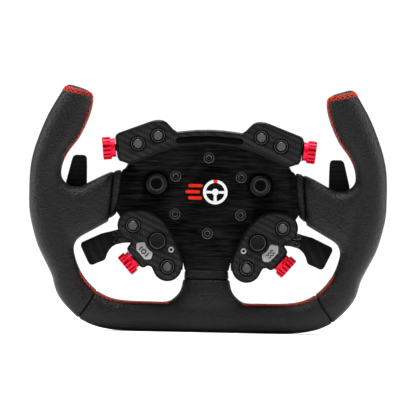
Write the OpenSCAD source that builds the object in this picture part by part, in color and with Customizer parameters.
// Open-top racing wheel with a face plate of buttons, knobs and joysticks, and four paddles behind.
// Frame: +Z up, the wheel's front faces -Y, the origin is the centre of the hub's rear mounting face.

/* [Hub] */
// Pitch circle of the hub screws
bolt_circle = 70; // [66:1:74]
// Outer diameter of the hub ring
hub_d = 84; // [82:1:88]
// Bore through the hub ring
hub_bore_d = 50; // [40:1:54]
// Length of the hub ring, from its rear face to the rim's core plate
hub_len = 35; // [34:1:38]
// Tapping drill of the M5 holes in the rear face
tap_d = 4.2; // [4:0.1:4.4]

/* [Plates] */
// Thickness of the rim's aluminium core plate
core_t = 5; // [4:0.5:6]
// Thickness of the brushed face plate
plate_t = 4; // [3:0.5:5]
// Height of the switch housings above the face plate
housing_h = 20; // [19:0.5:22]
// Thickness of the carbon-look fascias
fascia_t = 1.5; // [1:0.25:2]
// Wall of the switch housings
wall = 2.5; // [2:0.25:3]

/* [Rim] */
// Width of the core's rim strip inside the foam
strip_w = 12; // [8:1:14]
// Half depth of the leather-covered rim at the hands
grip_depth = 16.5; // [15:0.5:17.5]

/* [Controls] */
// Diameter of a push button's cap
button_d = 8.8; // [8:0.1:9]
// Travel of a push button
button_travel = 1.5; // [1:0.1:1.5]
// Diameter of a thumb button
thumb_d = 14.2; // [13:0.2:14.4]
// Diameter of an encoder knob
knob_d = 21; // [19:0.5:21]
// Number of flutes round an encoder knob
flutes = 16; // [12:1:18]
// Diameter of an encoder's shaft
shaft_d = 6; // [5:0.5:6.5]
// Diameter of a joystick's turning ring
stick_d = 18.8; // [17:0.2:19]
// Side distance of the joysticks from the wheel's middle
stick_x = 48; // [47:0.5:49]

/* [Paddles] */
// Thickness of the shift paddles
shift_t = 3; // [2.5:0.5:3]
// Thickness of the clutch paddles' carbon blades
blade_t = 2.5; // [2:0.25:3]
// Diameter of the paddles' pivot pins
pin_d = 4; // [3:0.5:4]
// Running gap between parts that turn on each other
running = 0.05; // [0.03:0.01:0.08]

/* [Hidden] */
$fn = 64;

// Depths, counted from the hub's rear face towards the front
core_back = -hub_len;
plate_back = core_back - core_t;
plate_front = plate_back - plate_t;
housing_front = plate_front - housing_h;
face = housing_front - fascia_t;
grip_mid = core_back - 3;

// Push buttons as [x, z, name]
BUTTONS = [
    [-66, 46.7, "button_upper_left_outer"],
    [-47.6, 54.5, "button_upper_left_inner"],
    [47.6, 54.5, "button_upper_right_inner"],
    [66, 46.7, "button_upper_right_outer"],
    [-69, -28.8, "button_lower_left_outer"],
    [-36.5, -66.3, "button_lower_left_inner"],
    [36.5, -66.3, "button_lower_right_inner"],
    [69, -28.8, "button_lower_right_outer"],
];

// Encoder knobs as [x, z, angle below the horizontal, side, name, collar length, wheel length]
KNOBS = [
    [86.3, 42.8, 6, -1, "knob_upper_left", 3.7, 8],
    [86.3, 42.8, 6, 1, "knob_upper_right", 3.7, 8],
    [67.4, -59.4, 41, -1, "knob_lower_left", 3.3, 7.4],
    [67.4, -59.4, 41, 1, "knob_lower_right", 3.3, 7.4],
];
knob_mid = plate_front - 10.6;
knob_gap = 0.5;
collar_r = 8.75;
shaft_out = 8.3;

stick_z = 10.1;
thumb_x = 46.3;
thumb_z = -42.6;
thumb_travel = 2;
screw_x = 33.4;
screw_z = -50.4;
pod_screw_d = 3;
pod_clear_d = 3.2;
screw_count = 6;
shank_d = 4.9;
clear_d = 5.5;
head_d = 10;
head_h = 2.4;
hub_screw_len = 24.4;
base_r = 11.9;
socket_z = -51.5;
fascia_inset = 1.8;
button_hole_r = 5.6;

shift_x = 68;
shift_y = -16;
clutch_x = 56;
clutch_y = -20;

// ---------------------------------------------------------------- helpers

function mirrored(points) = [for (i = [len(points) - 1:-1:0]) [-points[i][0], points[i][1]]];

function both(points) = concat(points, mirrored(points));

// A point on the Catmull-Rom curve from station i to station i + 1
function between(p, i, t) =
    let (a = p[max(i - 1, 0)], b = p[i], c = p[i + 1], d = p[min(i + 2, len(p) - 1)])
    0.5 * (2 * b + (c - a) * t + (2 * a - 5 * b + 4 * c - d) * t * t + (3 * b - a - 3 * c + d) * t * t * t);

function smooth(p, steps) =
    [for (i = [0:len(p) - 2]) for (k = [0:steps - 1]) between(p, i, k / steps), p[len(p) - 1]];

// Extrudes an (x, z) shape from depth y0 forwards to depth y1
module slab(y0, y1) {
    translate([0, y0, 0])
        rotate([90, 0, 0])
            linear_extrude(y0 - y1)
                children();
}

// Places a shape whose own +Z points out of the wheel's front
module facing(x, y, z) {
    translate([x, y, z])
        rotate([90, 0, 0])
            children();
}

module tube(r_out, r_in, h) {
    difference() {
        cylinder(r = r_out, h = h);
        translate([0, 0, -1])
            cylinder(r = r_in, h = h + 2);
    }
}

// A disc with a chamfered top edge
module button_cap(r, h, chamfer) {
    rotate_extrude()
        polygon([[0, 0], [r, 0], [r, h - chamfer], [r - chamfer, h], [0, h]]);
}

module on_bolt_circle(first) {
    for (i = [0:screw_count - 1])
        rotate([0, first + i * 360 / screw_count, 0])
            translate([bolt_circle / 2, 0, 0])
                children();
}

// ---------------------------------------------------------------- rim

// The rim's outline as stations [outer x, outer z, inner x, inner z, depth as a share of grip_depth]
HORN = [
    [129.5, 100.1, 115.5, 95.9, 0.42],
    [133.2, 99, 111.2, 93.4, 0.70],
    [136, 95, 109, 90, 0.85],
    [139.5, 89.5, 108.5, 84.5, 0.92],
    [149.5, 71.5, 112, 70, 0.97],
    [157.5, 51.5, 120.5, 51.5, 1.00],
    [162, 37, 131, 37.4, 1.00],
    [164.6, 22, 136.5, 22.5, 0.97],
    [165.2, 0, 136, 3, 0.94],
    [164, -20.5, 132.5, -17, 0.94],
    [157.5, -45.5, 126.5, -38, 0.94],
    [150.5, -60.5, 123.8, -52, 0.94],
    [142.5, -76.5, 120.5, -64.5, 0.91],
    [138.2, -91.5, 115.2, -75, 0.88],
    [129.5, -104, 107.5, -84.5, 0.85],
    [117.5, -115.3, 101, -90, 0.85],
];
BOTTOM = [
    [117.5, -115.3, 101, -90, 0.85],
    [104.5, -121.5, 93.5, -94.3, 0.85],
    [88, -125, 82.5, -97.6, 0.85],
    [68, -125.9, 66, -98.9, 0.85],
    [34, -126, 34, -99, 0.85],
    [0, -126, 0, -99, 0.85],
];
rim_sides = 24;
grip_edge = 0.82;

// The side spoke's outline as stations [upper x, upper z, lower x, lower z, depth share]
SIDE_SPOKE = [
    [80.5, 22.8, 85, -18.2, 0.48],
    [88.6, 20.2, 90.6, -22.6, 0.52],
    [89.5, 20.2, 91.6, -24.9, 0.67],
    [93, 18.9, 94.5, -26.6, 0.79],
    [102, 14.4, 101, -30.3, 0.86],
    [112.5, 8.7, 111, -36, 0.91],
    [117.5, 5.8, 118, -40, 0.92],
    [124, 5.2, 122.5, -44.2, 0.92],
    [130, 7.2, 124, -48.5, 0.91],
    [135, 12.3, 127, -51.5, 0.88],
    [141, 15, 134, -51, 0.79],
];
spoke_sides = 32;
spoke_edge = 0.55;

// The bottom spoke's outline, half of it, as stations [x, z, depth share]
BOTTOM_SPOKE = [
    [20, -69.3, 0.48],
    [20, -76.6, 0.52],
    [21.3, -77.8, 0.64],
    [21.8, -83, 0.73],
    [23.3, -88.5, 0.79],
    [27.5, -93.6, 0.82],
    [33, -98.2, 0.82],
    [36, -104, 0.79],
];

function power(v, e) = sign(v) * pow(abs(v), e);

// A rounded cross-section between two outline points
function section(s, sides, e) = [
    for (k = [0:sides - 1])
        let (
            c = power(cos(360 * k / sides), e),
            d = power(sin(360 * k / sides), e) * s[4] * grip_depth
        )
        [(s[0] + s[2]) / 2 + c * (s[0] - s[2]) / 2, grip_mid + d, (s[1] + s[3]) / 2 + c * (s[1] - s[3]) / 2]
];

// A closed skin through rings of equal length
module loft(rings) {
    n = len(rings[0]);
    last = len(rings) - 1;
    corners = [for (i = [0:last - 1]) for (k = [0:n - 1]) [i * n + k, i * n + (k + 1) % n]];
    polyhedron(
        points = [for (r = rings) each r],
        faces = concat(
            [[for (k = [n - 1:-1:0]) k]],
            [for (c = corners) [c[0], c[1] + n, c[0] + n]],
            [for (c = corners) [c[0], c[1], c[1] + n]],
            [[for (k = [0:n - 1]) last * n + k]]
        )
    );
}

function strip_side(mid, offset) = [
    for (i = [0:len(mid) - 1])
        let (a = mid[max(i - 1, 0)], b = mid[min(i + 1, len(mid) - 1)], t = (b - a) / norm(b - a))
        mid[i] + offset * [-t[1], t[0]]
];

// The flat strip of the core that runs inside the rim, right half
module core_strip() {
    stations = smooth([for (i = [3:len(HORN) - 1]) HORN[i], for (i = [1:len(BOTTOM) - 1]) BOTTOM[i]], 2);
    mid = [for (s = stations) [(s[0] + s[2]) / 2, (s[1] + s[3]) / 2]];
    inner = strip_side(mid, strip_w / 2);
    outer = strip_side(mid, -strip_w / 2);
    polygon(concat(inner, [for (i = [len(outer) - 1:-1:0]) outer[i]]));
}

CORE_CENTRE = [
    [16, 50], [58, 46], [72, 34], [79, 20], [84, 13], [104, 4], [146, 0],
    [146, -18], [104, -18], [84, -11], [78, -14], [66, -38], [50, -52], [15, -62], [15, -112],
];

module core_body() {
    slab(core_back, plate_back)
        polygon(both(CORE_CENTRE));
    for (side = [0, 1])
        mirror([side, 0, 0])
            slab(core_back, plate_back)
                core_strip();
}

module rim_core() {
    color("silver")
        difference() {
            core_body();
            on_bolt_circle(30)
                rotate([-90, 0, 0])
                    cylinder(d = clear_d, h = 200, center = true);
            for (side = [-1, 1])
                translate([side * stick_x, core_back - core_t / 2, stick_z])
                    rotate([90, 0, 0])
                        cylinder(r = base_r + 0.5, h = 20, center = true);
        }
}

module grip_right_shape() {
    difference() {
        union() {
            loft([for (s = smooth(HORN, 3)) section(s, rim_sides, grip_edge)]);
            loft([for (s = smooth(SIDE_SPOKE, 2)) section(s, spoke_sides, spoke_edge)]);
        }
        core_body();
    }
}

module grip_right() {
    color([0.13, 0.13, 0.14])
        grip_right_shape();
}

module grip_left() {
    color([0.13, 0.13, 0.14])
        mirror([1, 0, 0])
            grip_right_shape();
}

module grip_bottom() {
    half = smooth(BOTTOM, 4);
    rim = concat(half, [for (i = [len(half) - 2:-1:0]) let (s = half[i]) [-s[0], s[1], -s[2], s[3], s[4]]]);
    spoke = [for (s = BOTTOM_SPOKE) [s[0], s[1], -s[0], s[1], s[2]]];
    color([0.13, 0.13, 0.14])
        difference() {
            union() {
                loft([for (s = rim) section(s, rim_sides, grip_edge)]);
                mirror([1, 0, 0])
                    loft([for (s = smooth(spoke, 2)) section(s, spoke_sides, spoke_edge)]);
            }
            core_body();
        }
}

// ---------------------------------------------------------------- outlines of the front

UPPER = [
    [0, 61], [12, 60.6], [24, 59.3], [30, 58.5], [33.5, 60.5], [37, 64.3], [40, 67.2], [43.5, 68.8],
    [47, 69.2], [51, 68.7], [55, 67.5], [84, 56.4], [86.3, 54.6], [87, 52], [85.3, 38], [84.6, 33.6],
    [82.6, 30.5], [78, 29.2], [73.5, 27.6], [65, 30.3], [50, 37.4], [40, 41], [25, 45.6], [0, 48],
];

module upper_outline() {
    polygon(both(UPPER));
}

POD_INNER = [[69, -14.5], [60, -13.9], [50, -17], [40, -25.3], [32, -37.4], [26, -50.8], [22.2, -61], [22.5, -69]];
POD_OUTER = [
    [36.5, -66.3], [46, -76], [49, -71], [50.6, -67.7], [52.2, -66], [55, -65.7], [57.5, -67.2], [59.3, -67.6],
    [61.2, -66.6], [73.1, -52.6], [74, -50.7], [73.4, -48.8], [71.4, -46], [70.7, -44.2], [71.4, -42.4],
    [73.4, -41.4], [78.4, -39.5], [69, -28.8],
];
pod_upper_r = 14.3;
pod_lower_r = 13.3;

module pod_outline() {
    polygon(concat(smooth(POD_INNER, 3), POD_OUTER));
    translate([BUTTONS[7][0], BUTTONS[7][1]])
        circle(r = pod_upper_r);
    translate([BUTTONS[6][0], BUTTONS[6][1]])
        circle(r = pod_lower_r);
}

PLATE = [
    [0, 50], [60, 42], [74.2, 27], [76, 24.8], [79.6, 22.4], [80.6, 20], [83, 0],
    [84.6, -16], [78, -26], [60, -50], [40, -62], [22, -62], [20.6, -68], [20, -69.3],
];

module plate_body() {
    slab(plate_back, plate_front)
        polygon(both(PLATE));
    slab(plate_back, plate_front)
        offset(delta = -1.5)
            upper_outline();
    for (side = [0, 1])
        mirror([side, 0, 0])
            slab(plate_back, plate_front)
                offset(delta = -1.5)
                    pod_outline();
}

// ---------------------------------------------------------------- plate and hub

module face_plate() {
    color([0.07, 0.07, 0.08])
        difference() {
            plate_body();
            on_bolt_circle(30)
                rotate([90, 0, 0]) {
                    translate([0, 0, -plate_front - 20])
                        cylinder(d = clear_d, h = 40);
                    translate([0, 0, -plate_front - head_h])
                        cylinder(d1 = clear_d, d2 = head_d + 0.6, h = head_h + 0.2);
                }
            for (side = [-1, 1])
                facing(side * stick_x, plate_back + 1, stick_z)
                    cylinder(r = base_r + 0.2, h = plate_t + 2);
        }
}

module hub_screw() {
    difference() {
        union() {
            cylinder(d = shank_d, h = hub_screw_len - 0.4);
            translate([0, 0, hub_screw_len - head_h])
                cylinder(d1 = shank_d, d2 = head_d, h = head_h);
        }
        translate([0, 0, hub_screw_len - head_h])
            cylinder(d = 3.4, h = 4, $fn = 6);
    }
}

module hub_screws() {
    color([0.08, 0.08, 0.09])
        on_bolt_circle(30)
            rotate([90, 0, 0])
                translate([0, 0, -plate_front - hub_screw_len])
                    hub_screw();
}

module hub_ring() {
    color([0.2, 0.2, 0.21])
        difference() {
            rotate([90, 0, 0])
                rotate_extrude()
                    polygon([
                        [hub_bore_d / 2, 0], [hub_d / 2 - 1, 0], [hub_d / 2, 1], [hub_d / 2, 6],
                        [hub_d / 2 - 2, 8], [hub_d / 2 - 2, hub_len], [hub_bore_d / 2, hub_len],
                    ]);
            on_bolt_circle(0)
                rotate([90, 0, 0])
                    translate([0, 0, -1])
                        cylinder(d = tap_d, h = 13);
            on_bolt_circle(30)
                rotate([90, 0, 0])
                    translate([0, 0, 16])
                        cylinder(d = 5, h = hub_len);
        }
}

// ---------------------------------------------------------------- rear cover and electronics

COVER = [
    [0, 53], [40, 53], [54, 44], [62.5, 28], [62.5, -8], [56, -19], [43, -28], [40, -56], [35, -60], [0, -60],
];
cover_back = -17;
rear_screw_places = [
    [34, 45], [-34, 45], [57.6, 20], [-57.6, 20], [55.5, -10], [-55.5, -10], [30, -53.5], [-30, -53.5],
];

module rear_cover() {
    color([0.1, 0.1, 0.1])
        difference() {
            slab(cover_back, core_back)
                polygon(both(COVER));
            slab(cover_back - 2, core_back - 1)
                difference() {
                    offset(delta = -2)
                        polygon(both(COVER));
                    for (p = rear_screw_places)
                        translate(p)
                            circle(d = 7);
                    circle(d = hub_d + 1);
                }
            rotate([90, 0, 0])
                translate([0, 0, -cover_back - 1])
                    cylinder(d = hub_d - 3, h = 30);
            for (p = rear_screw_places)
                facing(p[0], cover_back + 1, p[1])
                    cylinder(d = 2.6, h = 30);
            facing(0, cover_back + 1, socket_z)
                linear_extrude(4)
                    square([12.4, 8.4], center = true);
        }
}

module rear_screw() {
    difference() {
        union() {
            cylinder(d = 5.4, h = 2);
            translate([0, 0, -10])
                cylinder(d = 2.5, h = 10);
        }
        translate([0, 0, 0.8])
            cylinder(d = 2.3, h = 2, $fn = 6);
    }
}

module rear_screws() {
    color([0.12, 0.12, 0.12])
        for (p = rear_screw_places)
            translate([p[0], cover_back, p[1]])
                rotate([-90, 0, 0])
                    rear_screw();
}

module main_board() {
    color([0.05, 0.3, 0.15]) {
        slab(core_back + 4, core_back + 2.4)
            difference() {
                offset(delta = -3)
                    polygon(both(COVER));
                circle(d = hub_d + 4);
                for (p = rear_screw_places)
                    translate(p)
                        circle(d = 8);
            }
        slab(core_back + 6, core_back + 4)
            translate([12, -53])
                square([10, 7]);
    }
}

module cable_socket() {
    color("silver")
        difference() {
            facing(0, cover_back, socket_z)
                linear_extrude(13.9)
                    square([12, 8], center = true);
            facing(0, cover_back + 1, socket_z)
                linear_extrude(9)
                    square([9, 3.2], center = true);
        }
}

// ---------------------------------------------------------------- upper housing

// The light window's outline, right half
LIGHT_SLOT = [
    [0, 49.8], [15, 49.3], [29.2, 48], [30.6, 49.2], [30.6, 51.6], [29.2, 52.9], [15, 54.4], [0, 55],
];

module button_holes(first, last) {
    for (i = [first:last])
        facing(BUTTONS[i][0], plate_front, BUTTONS[i][1])
            cylinder(r = button_hole_r, h = 40);
}

// The drilled hole for an encoder's bushing, through the housing wall
module encoder_hole(k) {
    knob_frame(k)
        translate([0, 0, -8])
            cylinder(d = 7.2, h = 12);
}

// Places a shape whose own +Z is the knob's axis, starting at the housing wall
module knob_frame(k) {
    translate([k[3] * k[0], knob_mid, k[1]])
        rotate([0, k[3] * (90 + k[2]), 0])
            children();
}

module upper_housing() {
    color([0.12, 0.12, 0.13])
        difference() {
            slab(plate_front, housing_front)
                upper_outline();
            slab(plate_front + 1, housing_front + wall)
                offset(delta = -wall)
                    upper_outline();
            button_holes(0, 3);
            slab(plate_front, housing_front - 1)
                polygon(both(LIGHT_SLOT));
            encoder_hole(KNOBS[0]);
            encoder_hole(KNOBS[1]);
        }
}

module upper_fascia() {
    color([0.22, 0.22, 0.23])
        difference() {
            slab(housing_front, face)
                offset(delta = -fascia_inset)
                    upper_outline();
            button_holes(0, 3);
            slab(housing_front + 1, face - 1)
                polygon(both(LIGHT_SLOT));
        }
}

module light_lens() {
    color([0.03, 0.03, 0.03])
        slab(housing_front + wall, face + 0.3)
            offset(delta = -0.1)
                polygon(both(LIGHT_SLOT));
}

led_pitch = 5.2;
led_size = 2.6;

module light_board() {
    color([0.05, 0.3, 0.15]) {
        slab(housing_front + 6, housing_front + 4.8)
            polygon([[-29, 48.8], [0, 50.4], [29, 48.8], [29, 52], [0, 54], [-29, 52]]);
        for (i = [-5:5])
            slab(housing_front + 4.8, housing_front + 3.2)
                translate([i * led_pitch, 52.1 - abs(i) * 0.33])
                    square(led_size, center = true);
    }
}

// ---------------------------------------------------------------- pods

module pod_housing_shape() {
    difference() {
        slab(plate_front, housing_front)
            pod_outline();
        slab(plate_front + 1, housing_front + wall)
            difference() {
                offset(delta = -wall)
                    pod_outline();
                translate([screw_x, screw_z])
                    circle(d = 7);
            }
        button_holes(6, 7);
        facing(thumb_x, plate_front, thumb_z)
            cylinder(d = thumb_d + 1, h = 40);
        facing(screw_x, plate_front, screw_z)
            cylinder(d = pod_clear_d, h = 40);
        encoder_hole(KNOBS[3]);
    }
}

module pod_fascia_shape() {
    difference() {
        slab(housing_front, face)
            offset(delta = -fascia_inset)
                pod_outline();
        button_holes(6, 7);
        facing(thumb_x, plate_front, thumb_z)
            cylinder(d = thumb_d + 1, h = 40);
        facing(screw_x, plate_front, screw_z)
            cylinder(d = pod_clear_d, h = 40);
    }
}

module pod_housing_right() {
    color([0.12, 0.12, 0.13])
        pod_housing_shape();
}

module pod_housing_left() {
    color([0.12, 0.12, 0.13])
        mirror([1, 0, 0])
            pod_housing_shape();
}

module pod_fascia_right() {
    color([0.22, 0.22, 0.23])
        pod_fascia_shape();
}

module pod_fascia_left() {
    color([0.22, 0.22, 0.23])
        mirror([1, 0, 0])
            pod_fascia_shape();
}

module pod_screws() {
    color("silver")
        for (side = [-1, 1])
            facing(side * screw_x, face, screw_z)
                difference() {
                    union() {
                        cylinder(d = 5.8, h = 1.2);
                        translate([0, 0, -12])
                            cylinder(d = pod_screw_d, h = 12);
                    }
                    translate([0, 0, 0.3])
                        cylinder(d = 2.9, h = 2, $fn = 6);
                }
}

LABEL = [
    [64.9, -44.6], [65.8, -45.9], [65.6, -51.6], [58.2, -59.6], [56.6, -60.3], [53, -60.1], [51.3, -59.2],
    [50, -54.6], [50.6, -53],
];

module label_plates() {
    color([0.75, 0.75, 0.77])
        for (side = [0, 1])
            mirror([side, 0, 0])
                slab(face, face - 0.8)
                    difference() {
                        polygon(concat(LABEL, [[54, -48], [58.5, -43.6]]));
                        translate([thumb_x, thumb_z])
                            circle(r = 11);
                    }
}

// ---------------------------------------------------------------- push buttons

module bezel() {
    difference() {
        union() {
            rotate_extrude()
                polygon([[4.7, 0], [7.4, 0], [7.4, 0.6], [6.4, 1.6], [4.7, 1.6]]);
            translate([0, 0, -7])
                cylinder(r = 5.5, h = 7);
        }
        translate([0, 0, -8])
            cylinder(r = 4.7, h = 12);
    }
}

module thumb_bezel() {
    difference() {
        union() {
            rotate_extrude()
                polygon([[7.3, 0], [9.2, 0], [9.2, 0.6], [8.6, 1.2], [7.3, 1.2]]);
            translate([0, 0, -4])
                cylinder(d = thumb_d + 0.9, h = 4);
        }
        translate([0, 0, -5])
            cylinder(r = thumb_d / 2 + 0.25, h = 12);
    }
}

module button_bezels() {
    color([0.3, 0.3, 0.31]) {
        for (b = BUTTONS)
            facing(b[0], face, b[1])
                bezel();
        for (side = [-1, 1])
            facing(side * thumb_x, face, thumb_z)
                thumb_bezel();
    }
}

module button(b) {
    color([0.4, 0.4, 0.41])
        facing(b[0], face, b[1])
            translate([0, 0, -4.5])
                button_cap(button_d / 2, 7.1, 0.7);
}

module thumb(side) {
    color([0.06, 0.06, 0.06])
        facing(side * thumb_x, face, thumb_z)
            translate([0, 0, -3.5])
                button_cap(thumb_d / 2, 9.5, 0.8);
}

// A switch that stands on the face plate, its plunger ending at this depth below the fascia
module switch(depth) {
    translate([0, 0, -housing_h - fascia_t]) {
        translate([-5, -5, 0])
            cube([10, 10, 12]);
        cylinder(r = 1.7, h = housing_h + fascia_t - depth);
    }
}

module switches() {
    color([0.15, 0.15, 0.16]) {
        for (b = BUTTONS)
            facing(b[0], face, b[1])
                switch(4.5 + button_travel + 0.3);
        for (side = [-1, 1])
            facing(side * thumb_x, face, thumb_z)
                switch(3.5 + thumb_travel + 0.3);
    }
}

// ---------------------------------------------------------------- encoders

module encoder() {
    translate([-6, -6.5, -9])
        cube([12, 13, 6]);
    translate([0, 0, -3.2])
        cylinder(d = 7, h = 3);
    translate([0, 0, -4])
        cylinder(d = shaft_d, h = 4 + shaft_out);
}

module encoders() {
    color([0.6, 0.6, 0.62])
        for (k = KNOBS)
            knob_frame(k)
                encoder();
}

// A fluted wheel behind a plain collar, with its grub screw as a separate solid
module knob(k) {
    shoulder = knob_gap + k[5];
    top = shoulder + k[6];
    screw_at = knob_gap + k[5] / 2;
    color([0.85, 0.08, 0.16])
        knob_frame(k) {
            difference() {
                rotate_extrude()
                    polygon([
                        [0, knob_gap], [collar_r - 0.5, knob_gap], [collar_r, knob_gap + 0.5],
                        [collar_r, shoulder], [knob_d / 2 - 0.6, shoulder], [knob_d / 2, shoulder + 0.6],
                        [knob_d / 2, top - 0.8], [knob_d / 2 - 0.8, top], [0, top],
                    ]);
                translate([0, 0, -1])
                    cylinder(d = shaft_d + 2 * running, h = shaft_out + 1.4);
                for (i = [0:flutes - 1])
                    rotate([0, 0, 360 * (i + 0.5) / flutes])
                        translate([knob_d / 2 + 0.15, 0, shoulder + 0.9])
                            cylinder(r = 1.15, h = k[6]);
                translate([0, 0, screw_at])
                    rotate([90, 0, 0])
                        cylinder(d = 2.2, h = 20);
            }
            translate([0, 0, screw_at])
                rotate([90, 0, 0])
                    translate([0, 0, shaft_d / 2 + 0.3])
                        cylinder(d = 2, h = 4);
        }
}

// ---------------------------------------------------------------- joysticks

stick_pivot = plate_front + 2;

module stick_bases() {
    color([0.08, 0.08, 0.08])
        for (side = [-1, 1])
            facing(side * stick_x, 0, stick_z) {
                translate([0, 0, -core_back + 2])
                    tube(base_r, 9.2, 4.5);
                translate([0, 0, -core_back])
                    cylinder(r = base_r, h = 2);
            }
}

module stick_gimbal(side) {
    color([0.3, 0.3, 0.3])
        facing(side * stick_x, stick_pivot, stick_z)
            translate([0, 0, -1.5])
                tube(7.6, 5.6, 3);
}

module stick_stem(side) {
    color([0.5, 0.5, 0.5])
        facing(side * stick_x, stick_pivot, stick_z)
            difference() {
                union() {
                    cylinder(r = 4.2, h = 9);
                    sphere(r = 4.2);
                }
                translate([0, 0, 2.5])
                    cylinder(r = 2.2, h = 20);
            }
}

module stick_ring(side) {
    color([0.16, 0.16, 0.16])
        facing(side * stick_x, stick_pivot, stick_z)
            difference() {
                rotate_extrude()
                    polygon([
                        [4.2 + running, 6], [8.6, 6], [stick_d / 2, 7], [stick_d / 2, 12.8],
                        [stick_d / 2 - 1.6, 14.2], [6.7, 14.2], [6.7, 10.4], [4.2 + running, 10.4],
                    ]);
                for (i = [0:23])
                    rotate([0, 0, 15 * i])
                        translate([stick_d / 2 + 0.3, 0, 7.4])
                            cylinder(r = 0.7, h = 5);
            }
}

module stick_cap(side) {
    color([0.1, 0.1, 0.1])
        facing(side * stick_x, stick_pivot, stick_z) {
            translate([0, 0, 11.8])
                button_cap(6.3, 2.8, 0.6);
            translate([0, 0, 4])
                cylinder(r = 2.15, h = 8);
        }
}

// ---------------------------------------------------------------- shift paddles

SHIFT_BLADE = [
    [64.5, 5], [84, 4], [98, 0], [110, -8], [114, -15], [119, -18], [125, -17], [129, -12], [132, -2], [132, 10.5],
    [126.8, 31.5], [125.6, 34.4], [123.4, 35.7], [116.2, 35.7], [114, 34.9], [112.9, 32.5], [112.6, 25], [112.4, 6],
    [108, 5], [98, 11], [84, 16.5], [64.5, 19.5],
];
shift_front = shift_y + 4;

module shift_paddle_shape() {
    difference() {
        union() {
            slab(shift_front + shift_t, shift_front)
                polygon(SHIFT_BLADE);
            translate([shift_x, shift_y, 7])
                cylinder(r = 4.2, h = 15);
        }
        translate([shift_x, shift_y, 0])
            cylinder(d = pin_d + 2 * running, h = 40);
    }
}

module shift_paddle_right() {
    color([0.06, 0.06, 0.07])
        shift_paddle_shape();
}

module shift_paddle_left() {
    color([0.06, 0.06, 0.07])
        mirror([1, 0, 0])
            shift_paddle_shape();
}

module shift_mount() {
    difference() {
        union() {
            translate([shift_x - 4.5, core_back, 1.5])
                cube([14, 4, 20.5]);
            translate([shift_x - 4.5, core_back, 1.5])
                cube([8.5, 4, 25.1]);
            for (z = [2.6, 22.4])
                translate([shift_x - 3.6, core_back, z]) {
                    cube([7.2, shift_y - core_back, 4]);
                    translate([3.6, shift_y - core_back, 0])
                        cylinder(r = 3.6, h = 4);
                }
        }
        translate([shift_x, shift_y, 0])
            cylinder(d = pin_d, h = 40);
    }
}

module shift_mounts() {
    color([0.16, 0.16, 0.17])
        for (side = [0, 1])
            mirror([side, 0, 0])
                shift_mount();
}

module shift_switches() {
    color([0.5, 0.1, 0.1])
        for (side = [0, 1])
            mirror([side, 0, 0]) {
                translate([shift_x + 5.2, core_back + 4, 8])
                    cube([4, 16, 13]);
                translate([shift_x + 6, core_back + 20, 12])
                    cube([2, 1.4, 3]);
            }
}

// ---------------------------------------------------------------- clutch paddles

CLUTCH_BLADE = [
    [75.8, -43.4], [76.5, -36], [79, -33.2], [83, -32.9], [90, -34.9], [98, -36.9], [114.5, -44.7],
    [116.4, -46], [117, -48], [116.6, -50], [109.8, -64], [108.2, -66], [105.8, -66.4], [95.2, -61.9],
    [93.9, -60.7], [93.3, -59], [92.3, -55.6], [90.5, -52.2], [88, -49.3], [85, -47.3], [80, -45.9], [77, -45.2],
];
CLUTCH_ARM = [[54, -35], [70, -31.5], [84, -33.8], [93, -36.5], [91, -50], [84, -46], [76, -44.5], [66, -46], [54, -45]];
clutch_front = clutch_y + 5;
clutch_screw_places = [[85.2, -36.9], [84.2, -43.5]];
clamp_roots = [[73, -35.5], [73, -42.6]];
clamp_r = 2.45;
clamp_front = clutch_front - blade_t - 1.2;

// A clamp finger: a bar with a round end about the screw
function finger(tip, root) = concat(
    [for (a = [-90:18:90]) tip + clamp_r * [cos(a), sin(a)]],
    [root + [0, clamp_r], root - [0, clamp_r]]
);

module clutch_arm_shape() {
    difference() {
        union() {
            slab(clutch_front + 4, clutch_front)
                polygon(CLUTCH_ARM);
            translate([clutch_x, clutch_y, -45])
                cylinder(r = 5.2, h = 10);
            slab(clutch_front + 1, clamp_front)
                polygon([[71, -33], [75.3, -33], [75.3, -45.1], [71, -45.1]]);
            for (i = [0, 1])
                slab(clutch_front - blade_t, clamp_front)
                    polygon(finger(clutch_screw_places[i], clamp_roots[i]));
        }
        translate([clutch_x, clutch_y, -60])
            cylinder(d = pin_d + 2 * running, h = 60);
        for (p = clutch_screw_places)
            facing(p[0], 0, p[1])
                cylinder(d = 3, h = 60);
    }
}

module clutch_blade_shape() {
    difference() {
        slab(clutch_front, clutch_front - blade_t)
            polygon(CLUTCH_BLADE);
        for (p = clutch_screw_places)
            facing(p[0], 0, p[1])
                cylinder(d = 3.2, h = 60);
    }
}

module clutch_screws_shape() {
    for (p = clutch_screw_places)
        facing(p[0], clamp_front, p[1])
            difference() {
                union() {
                    cylinder(d = 4, h = 1.2);
                    translate([0, 0, -7])
                        cylinder(d = 2.9, h = 7);
                }
                translate([0, 0, 0.4])
                    cylinder(d = 2.5, h = 2, $fn = 6);
            }
}

module clutch_arm_right() {
    color([0.14, 0.14, 0.15])
        clutch_arm_shape();
}

module clutch_arm_left() {
    color([0.14, 0.14, 0.15])
        mirror([1, 0, 0])
            clutch_arm_shape();
}

module clutch_blade_right() {
    color([0.09, 0.09, 0.1])
        clutch_blade_shape();
}

module clutch_blade_left() {
    color([0.09, 0.09, 0.1])
        mirror([1, 0, 0])
            clutch_blade_shape();
}

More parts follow.
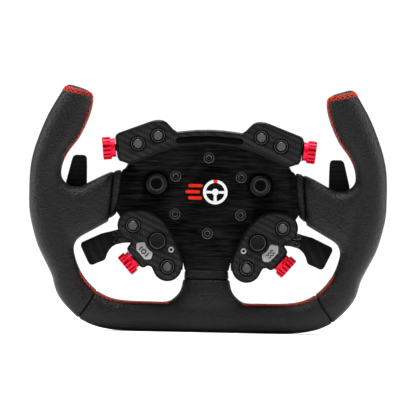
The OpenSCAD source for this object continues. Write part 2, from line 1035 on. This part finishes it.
module clutch_screws_right() {
    color([0.1, 0.1, 0.1])
        clutch_screws_shape();
}

module clutch_screws_left() {
    color([0.1, 0.1, 0.1])
        mirror([1, 0, 0])
            clutch_screws_shape();
}

module clutch_mount() {
    difference() {
        union() {
            translate([clutch_x - 6, core_back, -50.5])
                cube([12, 4, 21]);
            for (z = [-50, -34.2])
                translate([clutch_x - 4.5, core_back, z]) {
                    cube([9, clutch_y - core_back, 4]);
                    translate([4.5, clutch_y - core_back, 0])
                        cylinder(r = 4.5, h = 4);
                }
        }
        translate([clutch_x, clutch_y, -60])
            cylinder(d = pin_d, h = 60);
    }
}

module clutch_mounts() {
    color([0.16, 0.16, 0.17])
        for (side = [0, 1])
            mirror([side, 0, 0])
                clutch_mount();
}

module paddle_pins() {
    color("silver")
        for (side = [-1, 1]) {
            translate([side * shift_x, shift_y, 2.2])
                cylinder(d = pin_d, h = 24.6);
            translate([side * clutch_x, clutch_y, -50.4])
                cylinder(d = pin_d, h = 20.8);
        }
}

// ---------------------------------------------------------------- the wheel

rim_core();
grip_left();
grip_right();
grip_bottom();
face_plate();
hub_screws();
hub_ring();
rear_cover();
rear_screws();
main_board();
cable_socket();
upper_housing();
upper_fascia();
light_lens();
light_board();
pod_housing_left();
pod_housing_right();
pod_fascia_left();
pod_fascia_right();
pod_screws();
label_plates();
button_bezels();
switches();
encoders();
for (b = BUTTONS) button(b);
for (k = KNOBS) knob(k);
thumb(-1);  // thumb_left
thumb(1);  // thumb_right
stick_bases();
stick_gimbal(-1);  // stick_gimbal_left
stick_gimbal(1);  // stick_gimbal_right
stick_stem(-1);  // stick_stem_left
stick_stem(1);  // stick_stem_right
stick_ring(-1);  // stick_ring_left
stick_ring(1);  // stick_ring_right
stick_cap(-1);  // stick_cap_left
stick_cap(1);  // stick_cap_right
shift_mounts();
shift_switches();
shift_paddle_left();
shift_paddle_right();
clutch_mounts();
clutch_arm_left();
clutch_arm_right();
clutch_blade_left();
clutch_blade_right();
clutch_screws_left();
clutch_screws_right();
paddle_pins();
